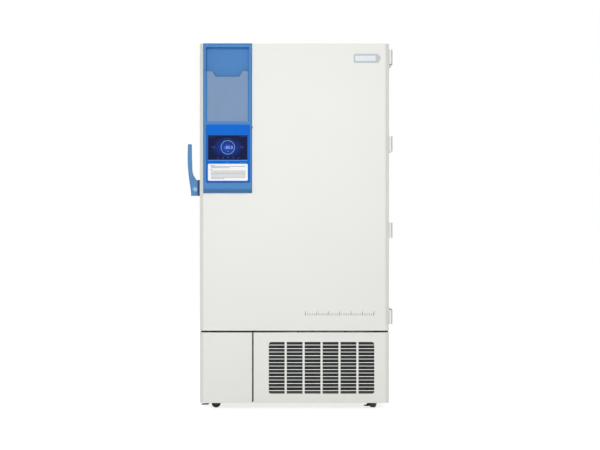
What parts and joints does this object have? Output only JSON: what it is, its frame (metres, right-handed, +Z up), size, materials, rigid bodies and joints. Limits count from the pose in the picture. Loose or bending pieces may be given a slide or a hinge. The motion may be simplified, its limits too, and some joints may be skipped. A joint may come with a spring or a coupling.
{
  "type": "ultra low temperature freezer",
  "caption": "Upright foamed freezer cabinet with a hinged front door, control console, side lever handle, inner doors, grille door and casters.",
  "frame": {"origin": "on the floor, in the middle of the box round the whole freezer", "axes": "+X to the right seen from the front, +Y to the back, +Z up; the door faces -Y"},
  "size_m": [1.1144, 0.99, 1.99],
  "materials": {
    "white_steel": "white powder coat",
    "liner_steel": "brushed stainless",
    "grey_steel": "dark grey paint",
    "zinc_steel": "zinc plated",
    "foam": "foamed",
    "white_plastic": "satin",
    "grey_rubber": "matt",
    "black_rubber": "matt",
    "blue_plastic": "satin",
    "bright_blue": "gloss",
    "clear_sheet": "frosted",
    "dark_glass": "gloss",
    "label_paper": "matt",
    "board": "satin",
    "silver": "satin",
    "bright_steel": "polished",
    "copper": "satin",
    "black_plastic": "satin",
    "black_paint": "satin black"
  },
  "bodies": {
    "cabinet": {"outer_case": "white_steel", "cabinet_insulation": "foam", "inner_liner": "liner_steel", "breaker_frame": "white_plastic", "access_port_sleeve": "white_plastic", "access_port_plug": "grey_rubber", "evaporator_coil": "copper", "shelf_standards": "liner_steel", "shelves": "liner_steel", "base_frame": "grey_steel", "compressor_first_stage": "black_paint", "compressor_second_stage": "black_paint", "condenser_coil": "silver", "air_filter": "black_plastic", "fan_shroud": "zinc_steel", "fan_motor": "black_paint", "heat_exchanger": "foam", "refrigerant_pipes": "copper", "backup_battery": "black_plastic", "power_inlet": "black_plastic", "rear_cover": "zinc_steel", "rear_bumpers": "black_rubber", "lower_left_panel": "white_steel", "hinge_cabinet_leaves": "bright_steel", "hinge_cabinet_covers": "white_plastic", "hinge_pins": "bright_steel", "latch_strike": "bright_steel", "inner_door_frame": "white_plastic", "caster_forks_rear": "zinc_steel"},
    "door": {"door_outer_skin": "white_steel", "door_inner_panel": "white_plastic", "door_insulation": "foam", "door_gasket": "grey_rubber", "console_housing": "blue_plastic", "document_pocket": "clear_sheet", "display_bezel": "bright_blue", "touch_screen": "dark_glass", "instruction_label": "label_paper", "control_board": "board", "badge_plate": "silver", "hinge_door_leaves": "bright_steel", "hinge_door_covers": "white_plastic", "handle_base": "blue_plastic"},
    "door_handle": {"handle_lever": "blue_plastic", "latch_hook": "bright_steel"},
    "door_lock": {"lock_cylinder": "bright_steel"},
    "upper_inner_door": {"inner_door_upper": "white_plastic"},
    "lower_inner_door": {"inner_door_lower": "white_plastic"},
    "front_grille": {"grille_door": "white_steel", "grille_slats": "grey_steel"},
    "fan": {"fan_blades": "black_plastic"},
    "front_left_fork": {"caster_fork_front_left": "zinc_steel"},
    "front_right_fork": {"caster_fork_front_right": "zinc_steel"},
    "front_left_wheel": {"caster_wheel_front_left": "black_plastic"},
    "front_right_wheel": {"caster_wheel_front_right": "black_plastic"},
    "rear_left_wheel": {"caster_wheel_rear_left": "black_plastic"},
    "rear_right_wheel": {"caster_wheel_rear_right": "black_plastic"},
    "front_left_pedal": {"brake_pedal_front_left": "black_plastic"},
    "front_right_pedal": {"brake_pedal_front_right": "black_plastic"},
    "power_switch": {"rocker_switch": "black_plastic"}
  },
  "joints": [
    {"name": "door_hinge", "type": "hinge", "parent": "cabinet", "child": "door", "pos_m": [0.54875, -0.413, 0.995], "axis": [0, 0, 1], "range_deg": [0, 105]},
    {"name": "handle_pivot", "type": "hinge", "parent": "door", "child": "door_handle", "pos_m": [-0.50155, -0.434, 1.206], "axis": [1, 0, 0], "range_deg": [0, 75]},
    {"name": "lock_turn", "type": "hinge", "parent": "door_handle", "child": "door_lock", "pos_m": [-0.51525, -0.46, 1.199], "axis": [0, 1, 0], "range_deg": [0, 90]},
    {"name": "inner_door_upper_hinge", "type": "hinge", "parent": "cabinet", "child": "upper_inner_door", "pos_m": [0.40375, -0.346, 1.5395], "axis": [0, 0, 1], "range_deg": [0, 90]},
    {"name": "inner_door_lower_hinge", "type": "hinge", "parent": "cabinet", "child": "lower_inner_door", "pos_m": [0.40375, -0.346, 0.8805], "axis": [0, 0, 1], "range_deg": [0, 90]},
    {"name": "grille_door_hinge", "type": "hinge", "parent": "cabinet", "child": "front_grille", "pos_m": [0.53475, -0.447, 0.037], "axis": [0, 0, 1], "range_deg": [0, 90]},
    {"name": "fan_spin", "type": "hinge", "parent": "cabinet", "child": "fan", "pos_m": [0.17575, -0.351, 0.246], "axis": [0, 1, 0], "continuous": true},
    {"name": "power_switch_rock", "type": "hinge", "parent": "cabinet", "child": "power_switch", "pos_m": [-0.40225, 0.474, 0.215], "axis": [1, 0, 0], "range_deg": [-6, 6]},
    {"name": "front_left_swivel", "type": "hinge", "parent": "cabinet", "child": "front_left_fork", "pos_m": [-0.38725, -0.372, 0.081], "axis": [0, 0, 1], "continuous": true},
    {"name": "front_left_brake", "type": "hinge", "parent": "front_left_fork", "child": "front_left_pedal", "pos_m": [-0.42125, -0.372, 0.062], "axis": [0, -1, 0], "range_deg": [0, 10]},
    {"name": "front_left_roll", "type": "hinge", "parent": "front_left_fork", "child": "front_left_wheel", "pos_m": [-0.40525, -0.372, 0.025], "axis": [0, 1, 0], "continuous": true},
    {"name": "front_right_swivel", "type": "hinge", "parent": "cabinet", "child": "front_right_fork", "pos_m": [0.46575, -0.35641, 0.081], "axis": [0, 0, 1], "continuous": true},
    {"name": "front_right_brake", "type": "hinge", "parent": "front_right_fork", "child": "front_right_pedal", "pos_m": [0.44875, -0.38586, 0.062], "axis": [0.866, -0.5, 0], "range_deg": [0, 10]},
    {"name": "front_right_roll", "type": "hinge", "parent": "front_right_fork", "child": "front_right_wheel", "pos_m": [0.45675, -0.372, 0.025], "axis": [-0.866, 0.5, 0], "continuous": true},
    {"name": "rear_left_roll", "type": "hinge", "parent": "cabinet", "child": "rear_left_wheel", "pos_m": [-0.40525, 0.4, 0.025], "axis": [-1, 0, 0], "continuous": true},
    {"name": "rear_right_roll", "type": "hinge", "parent": "cabinet", "child": "rear_right_wheel", "pos_m": [0.45675, 0.4, 0.025], "axis": [-1, 0, 0], "continuous": true}
  ],
  "couplings": [
    {"joint": "inner_door_upper_hinge", "follows": "door_hinge", "ratio": 0.85},
    {"joint": "inner_door_lower_hinge", "follows": "door_hinge", "ratio": 0.85}
  ]
}
